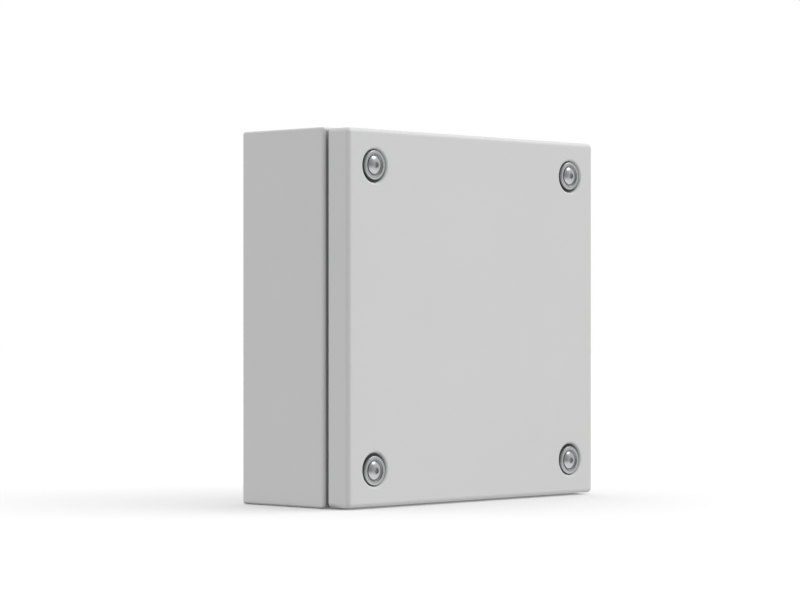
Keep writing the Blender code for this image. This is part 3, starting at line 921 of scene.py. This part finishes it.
for number in corners:
    buildBracket(number)
    buildBush(number)
    buildPlug(number)
    buildStud(f"welded_stud_{number}", f"mounting_stud_{number}", studSizes, -1, plated,
              "enclosure")
for side, body, facing in (("case", "enclosure", -1), ("lid", "lid", 1)):
    buildStud(f"{side}_earth_post", f"{side}_earth_stud", earthStudSizes, facing, yellow,
              body)
    buildToothedWasher(f"{side}_lock_washer", f"{side}_earth_washer", body)
    buildNut(f"{side}_hexagon_nut", f"{side}_earth_nut", body)
print("brackets, plugs, studs and earth parts made")


# Floor, light and camera

studio = {
    # pale table, lit a little from below; the case stands this little above it
    "floorColour": "#D7D7D7", "floorGlow": 0.093, "floorSize": 12000.0, "rest": 0.2,
    # painted shadow under the box: how far it shows round the case, how far it stays back from the lid's
    # face
    "contactColour": "#202020", "contact": 1.8, "contactBack": 9.0, "contactDepth": 0.01,
    # light of the sky, how it leans with the direction and how much it gains towards the top
    "sky": 1.246, "skyLean": (0.037, -0.094, 0.0), "skyTop": 0.198,
    # dark room behind the camera
    "shade": 0.864, "shadeTowards": (-0.60, -0.80, 0.0), "shadeFrom": 0.30,
    # big softbox
    "panel": 0.765, "panelTowards": (0.690, -0.638, 0.342), "panelFrom": 0.728, "panelEdge": 0.08,
    # light from the table, less of it straight beneath the box
    "glow": 0.881, "under": 0.85, "underFrom": 0.45, "underTo": 0.95, "horizon": 0.03,
    # what glossy parts mirror: a room that brightens to the right, a lamp, and the table below
    "roomDark": 0.30, "roomBright": 0.70, "roomTowards": (0.95, 0.25, 0.20),
    "roomFrom": -0.60, "roomTo": 1.0,
    "lamp": 2.3, "lampTowards": (0.68, -0.42, 0.60), "lampFrom": 0.82, "lampTo": 0.98,
    # the lamp's lower and upper edge, as heights in the sky
    "lampLow": 0.57, "lampHigh": 0.70, "lampEnd": 0.84, "lampFade": 0.1,
    "table": 1.1, "tableFrom": 0.02, "tableTo": 0.55,
    # what the camera sees past the table's end
    "backdrop": 1.0,
}


def layFlat(name, low, high, z, material):
    # a level rectangle of the studio
    shape = bmesh.new()
    shape.faces.new([shape.verts.new((x, y, z)) for x, y in
                     ((low[0], low[1]), (high[0], low[1]), (high[0], high[1]), (low[0], high[1]))])
    mesh = bpy.data.meshes.new(name)
    shape.to_mesh(mesh)
    shape.free()
    mesh.materials.append(material)
    sheet = bpy.data.objects.new(name, mesh)
    bpy.context.scene.collection.objects.link(sheet)
    return sheet


def buildFloor():
    half = studio["floorSize"] / 2 * mm
    material = startMaterial("opalTable", Base_Color=linear(studio["floorColour"]), Roughness=0.9,
                             Specular_IOR_Level=0.0, Emission_Color=linear("#FFFFFF"),
                             Emission_Strength=studio["floorGlow"])[0]
    floor = layFlat("floor", (-half, -half), (half, half), caseLow.z - studio["rest"] * mm, material)
    floor.visible_diffuse = False        # the sky's lower half lights the box from below, evenly
    floor.visible_glossy = False
    floor.visible_shadow = False


def buildContact():
    # painted shadow: a dark strip of table under the box, which only the box's own surfaces see
    reach, back = inMetres(studio, "contact", "contactBack")
    depth = sum(inMetres(studio, "rest", "contactDepth"))
    material = startMaterial("shadedTable", Base_Color=linear(studio["contactColour"]), Roughness=0.9,
                             Specular_IOR_Level=0.0)[0]
    contact = layFlat("contact_shadow", (caseLow.x - reach, lidFace + back),
                      (caseHigh.x + reach, caseHigh.y + reach), caseLow.z - depth, material)
    contact.visible_camera = False
    contact.visible_glossy = False


def skyLobe(tree, place, towards, start, end, low, high):
    # a level that goes from low to high as the view turns towards a direction
    lean = addNode(tree, "ShaderNodeVectorMath", {0: place, 1: Vector(towards).normalized()},
                   operation="DOT_PRODUCT")
    level = addNode(tree, "ShaderNodeMapRange",
                    {"Value": lean.outputs["Value"], "From Min": start, "From Max": end,
                     "To Min": low, "To Max": high}, interpolation_type="SMOOTHSTEP")
    return level.outputs[0]


def buildLight():
    # a bright room with one big softbox to the right, darker behind the camera, over a pale table
    world = bpy.data.worlds.new("studio")
    world.use_nodes = True
    bpy.context.scene.world = world
    tree = world.node_tree
    tree.nodes.clear()
    place = addNode(tree, "ShaderNodeTexCoord").outputs["Generated"]
    axes = addNode(tree, "ShaderNodeSeparateXYZ", {0: place})
    side = addNode(tree, "ShaderNodeVectorMath", {0: place, 1: studio["skyLean"]}, operation="DOT_PRODUCT")
    lean = addNode(tree, "ShaderNodeMath", {0: side.outputs["Value"], 1: studio["sky"], 2: studio["sky"]},
                   operation="MULTIPLY_ADD")
    top = addNode(tree, "ShaderNodeMath", {0: axes.outputs[2], 1: studio["skyTop"], 2: 1.0},
                  operation="MULTIPLY_ADD")
    level = addNode(tree, "ShaderNodeMath", {0: lean.outputs[0], 1: top.outputs[0]}, operation="MULTIPLY")
    shade = skyLobe(tree, place, studio["shadeTowards"], studio["shadeFrom"], 1.0,
                    1.0, 1 - studio["shade"])
    panel = skyLobe(tree, place, studio["panelTowards"], studio["panelFrom"],
                    studio["panelFrom"] + studio["panelEdge"], 1.0, 1 + studio["panel"])
    for factor in (shade, panel):
        level = addNode(tree, "ShaderNodeMath", {0: level.outputs[0], 1: factor}, operation="MULTIPLY")
    up, down = (0, 0, 1), (0, 0, -1)
    below = skyLobe(tree, place, down, -studio["horizon"], studio["horizon"], 0.0, 1.0)
    ground = skyLobe(tree, place, down, studio["underFrom"], studio["underTo"],
                     studio["glow"], studio["glow"] * (1 - studio["under"]))
    room = skyLobe(tree, place, studio["roomTowards"], studio["roomFrom"], studio["roomTo"],
                   studio["roomDark"], studio["roomBright"])
    lamp = skyLobe(tree, place, studio["lampTowards"], studio["lampFrom"], studio["lampTo"],
                   0.0, studio["lamp"])
    lowerEdge = skyLobe(tree, place, up, studio["lampLow"], studio["lampHigh"], 0.0, 1.0)
    upperEdge = skyLobe(tree, place, up, studio["lampEnd"], studio["lampEnd"] + studio["lampFade"],
                        1.0, 0.0)
    for factor in (lowerEdge, upperEdge):
        lamp = addNode(tree, "ShaderNodeMath", {0: lamp, 1: factor}, operation="MULTIPLY").outputs[0]
    lit = addNode(tree, "ShaderNodeMath", {0: room, 1: lamp}, operation="ADD")
    table = skyLobe(tree, place, down, studio["tableFrom"], studio["tableTo"], 0.0, 1.0)
    mirrored = addNode(tree, "ShaderNodeMix", {0: table, 2: lit.outputs[0], 3: studio["table"]})
    rays = addNode(tree, "ShaderNodeLightPath")
    level = addNode(tree, "ShaderNodeMix", {0: below, 2: level.outputs[0], 3: ground})
    level = addNode(tree, "ShaderNodeMix", {0: rays.outputs["Is Glossy Ray"], 2: level.outputs[0],
                                            3: mirrored.outputs[0]})
    sky = addNode(tree, "ShaderNodeBackground", {"Color": linear("#FFFFFF"), "Strength": level.outputs[0]})
    backdrop = addNode(tree, "ShaderNodeBackground",
                       {"Color": linear("#FFFFFF"), "Strength": studio["backdrop"]})
    mix = addNode(tree, "ShaderNodeMixShader", {0: rays.outputs["Is Camera Ray"], 1: sky.outputs[0],
                                                2: backdrop.outputs[0]})
    addNode(tree, "ShaderNodeOutputWorld", {"Surface": mix.outputs[0]})


view = {
    "place": (-1156.7, -1081.3, 98.28),   # mm
    "heading": -46.465,                   # degrees from +Y, clockwise seen from above is negative
    "focal": 128.60, "sensor": 36.0, "near": 50.0,      # mm
    "shift": 0.02631,                     # upward shift, as a share of the picture's width
}


def buildCamera():
    camera = bpy.data.cameras.new("camera")
    camera.lens = view["focal"]
    camera.sensor_width = view["sensor"]
    camera.shift_y = view["shift"]
    camera.clip_start = view["near"] * mm
    eye = bpy.data.objects.new("camera", camera)
    eye.location = Vector(view["place"]) * mm
    eye.rotation_euler = (math.radians(90), 0, math.radians(view["heading"]))
    bpy.context.scene.collection.objects.link(eye)
    bpy.context.scene.camera = eye


buildFloor()
buildContact()
buildLight()
buildCamera()
bpy.context.scene.view_settings.view_transform = "Standard"
print("floor, light and camera set")
